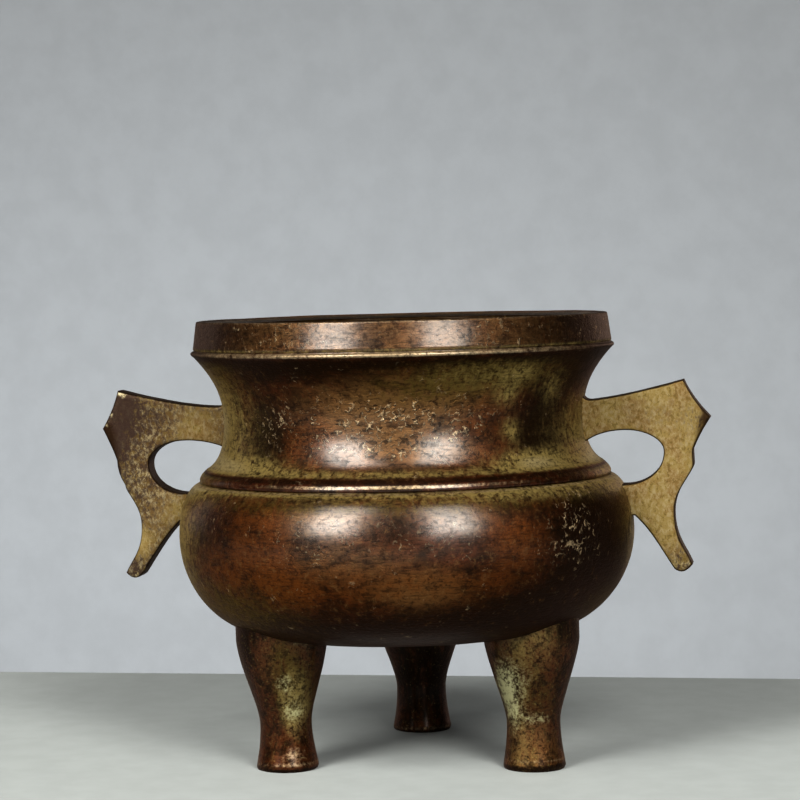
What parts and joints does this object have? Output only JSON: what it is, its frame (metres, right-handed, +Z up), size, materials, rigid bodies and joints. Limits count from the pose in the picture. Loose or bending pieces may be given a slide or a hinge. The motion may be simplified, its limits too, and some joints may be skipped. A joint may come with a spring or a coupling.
{
  "type": "incense burner",
  "caption": "Round cast-copper incense burner: upright rim band, waisted neck, corded shoulder, full belly, flat halberd-shaped side ears with finger loops, and waisted legs with flared feet.",
  "frame": {"origin": "middle of the bounding box in X and Y, on the plane that the soles stand on", "axes": "+X towards the ear on the right in the picture, -Y towards the viewer, +Z up out of the mouth"},
  "size_m": [0.1634, 0.1214, 0.1186],
  "materials": {
    "bowl": "lathe-turned cast copper alloy with a chestnut-brown patina, satin",
    "ears": "as-cast copper alloy under a matte khaki deposit, dark worn edges",
    "legs": "cast copper alloy, brown patina with olive and pale green crust"
  },
  "bodies": {
    "root": {"bowl": "bowl", "ear_right": "ears", "ear_left": "ears", "leg_back": "legs", "leg_left": "legs", "leg_right": "legs"}
  },
  "joints": []
}
